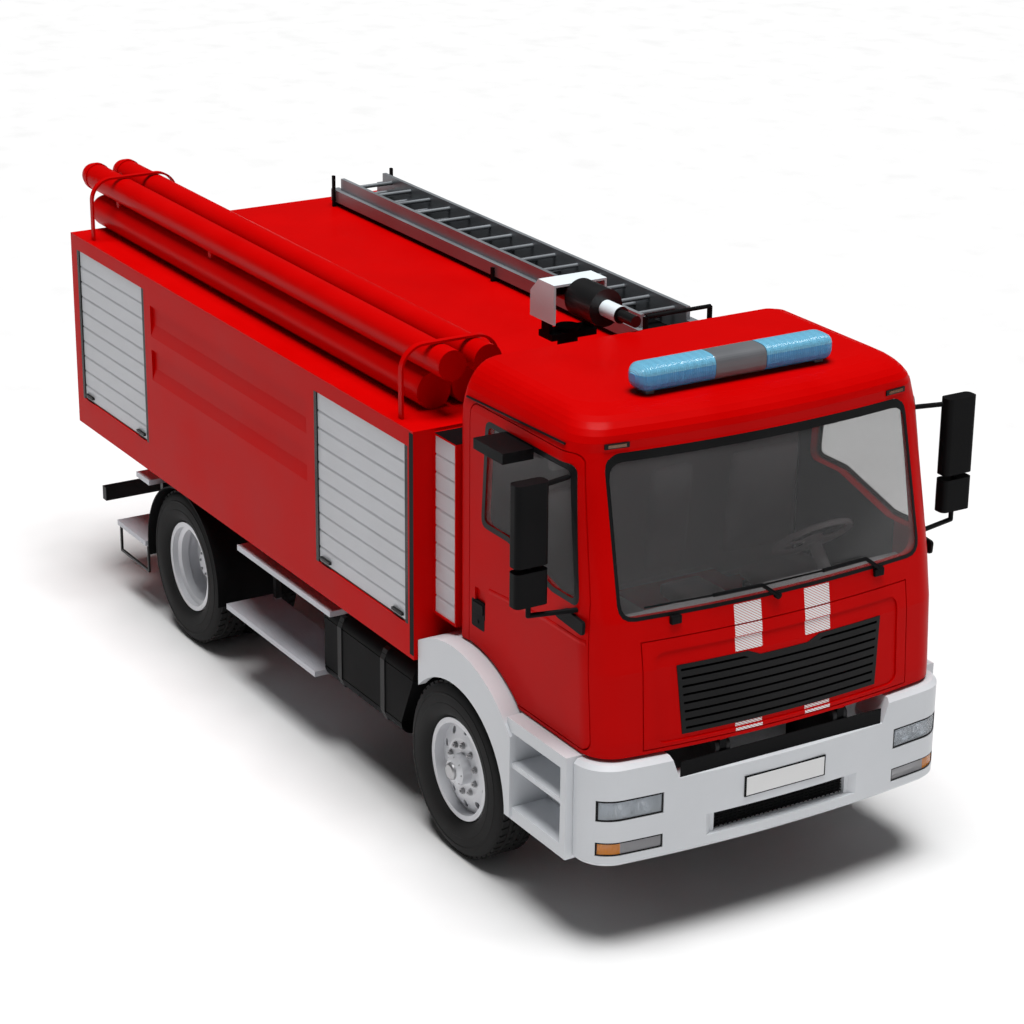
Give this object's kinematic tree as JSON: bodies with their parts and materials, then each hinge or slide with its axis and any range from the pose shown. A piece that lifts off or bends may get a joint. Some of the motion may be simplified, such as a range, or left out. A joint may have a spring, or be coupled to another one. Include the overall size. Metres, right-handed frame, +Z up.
{
  "type": "two-axle fire engine with tilting cab, equipment body and water cannon",
  "caption": "Two-axle fire engine: red tilting forward-control cab with grille flap and doors, shuttered equipment body, steered front and twin rear wheels, roof ladder, hose tubes and water cannon.",
  "frame": {"origin": "on the ground, middle of the overall length and width", "axes": "+X forward, +Y left, +Z up"},
  "size_m": [7.04, 3, 3.0839],
  "materials": {
    "body_red": "gloss",
    "cab_red": "gloss",
    "bumper_white": "satin",
    "cannon_white": "satin",
    "chassis_black": "satin",
    "box_black": "satin",
    "engine_grey": "rough cast",
    "rim_grey": "satin",
    "tyre_rubber": "matt",
    "shutter_aluminium": "anodised satin",
    "chequer_plate": "chequered",
    "ladder_aluminium": "satin",
    "lamp_red": "gloss",
    "lamp_clear": "clear",
    "beacon_blue": "gloss",
    "window_glass": "tinted",
    "trim_black": "matt",
    "seat_fabric": "woven"
  },
  "bodies": {
    "chassis": {"chassis_frame": "chassis_black", "front_axle": "chassis_black", "rear_axle": "chassis_black", "leaf_springs": "chassis_black", "propeller_shaft": "chassis_black", "engine": "engine_grey", "body_shell": "body_red", "roller_shutters": "shutter_aluminium", "tread_steps": "chequer_plate", "side_boxes": "box_black", "rear_mudguards": "box_black", "tail_lamps": "lamp_red", "tail_ladder": "ladder_aluminium", "front_fenders": "bumper_white", "bumper": "bumper_white", "front_lamps": "lamp_clear", "hose_tubes": "body_red", "tube_straps": "body_red", "roof_ladder": "ladder_aluminium", "ladder_gantries": "box_black", "cannon_base": "box_black"},
    "cab": {"cab_shell": "cab_red", "windscreen": "window_glass", "seats": "seat_fabric", "dashboard": "trim_black", "light_bar": "beacon_blue", "wipers": "trim_black"},
    "flap": {"front_flap": "cab_red", "grille": "trim_black"},
    "door_l": {"door_left": "cab_red", "door_glass_left": "window_glass", "mirrors_left": "trim_black"},
    "door_r": {"door_right": "cab_red", "door_glass_right": "window_glass", "mirrors_right": "trim_black"},
    "steer_l": {"knuckle_left": "chassis_black"},
    "steer_r": {"knuckle_right": "chassis_black"},
    "wheel_fl": {"front_rim_left": "rim_grey", "front_tyre_left": "tyre_rubber"},
    "wheel_fr": {"front_rim_right": "rim_grey", "front_tyre_right": "tyre_rubber"},
    "wheels_rl": {"rear_rims_left": "rim_grey", "rear_tyres_left": "tyre_rubber"},
    "wheels_rr": {"rear_rims_right": "rim_grey", "rear_tyres_right": "tyre_rubber"},
    "turret": {"cannon_turret": "box_black"},
    "barrel": {"cannon_barrel": "cannon_white"}
  },
  "joints": [
    {"name": "cab_tilt", "type": "hinge", "parent": "chassis", "child": "cab", "pos_m": [3.44, 0, 1.07], "axis": [0, 1, 0], "range_deg": [0, 50]},
    {"name": "door_left_hinge", "type": "hinge", "parent": "cab", "child": "door_l", "pos_m": [3.314, 1.122, 1.9], "axis": [0, 0, -1], "range_deg": [0, 75]},
    {"name": "door_right_hinge", "type": "hinge", "parent": "cab", "child": "door_r", "pos_m": [3.314, -1.122, 1.9], "axis": [0, 0, 1], "range_deg": [0, 75]},
    {"name": "flap_hinge", "type": "hinge", "parent": "cab", "child": "flap", "pos_m": [3.4345, 0, 1.76], "axis": [0, -1, 0], "range_deg": [0, 75]},
    {"name": "steer_left", "type": "hinge", "parent": "chassis", "child": "steer_l", "pos_m": [2.04, 0.92, 0.52], "axis": [0, 0, 1], "range_deg": [-35, 35]},
    {"name": "steer_right", "type": "hinge", "parent": "chassis", "child": "steer_r", "pos_m": [2.04, -0.92, 0.52], "axis": [0, 0, 1], "range_deg": [-35, 35]},
    {"name": "front_wheel_left", "type": "hinge", "parent": "steer_l", "child": "wheel_fl", "pos_m": [2.04, 1.086, 0.52], "axis": [0, 1, 0], "continuous": true},
    {"name": "front_wheel_right", "type": "hinge", "parent": "steer_r", "child": "wheel_fr", "pos_m": [2.04, -1.086, 0.52], "axis": [0, 1, 0], "continuous": true},
    {"name": "rear_wheels_left", "type": "hinge", "parent": "chassis", "child": "wheels_rl", "pos_m": [-1.52, 0.9395, 0.52], "axis": [0, 1, 0], "continuous": true},
    {"name": "rear_wheels_right", "type": "hinge", "parent": "chassis", "child": "wheels_rr", "pos_m": [-1.52, -0.9395, 0.52], "axis": [0, 1, 0], "continuous": true},
    {"name": "cannon_turn", "type": "hinge", "parent": "chassis", "child": "turret", "pos_m": [1.25, 0, 2.73], "axis": [0, 0, 1], "range_deg": [-170, 170]},
    {"name": "cannon_pitch", "type": "hinge", "parent": "turret", "child": "barrel", "pos_m": [1.25, 0, 2.972], "axis": [0, -1, 0], "range_deg": [0, 60]}
  ],
  "couplings": [
    {"joint": "steer_right", "follows": "steer_left", "ratio": 1}
  ]
}
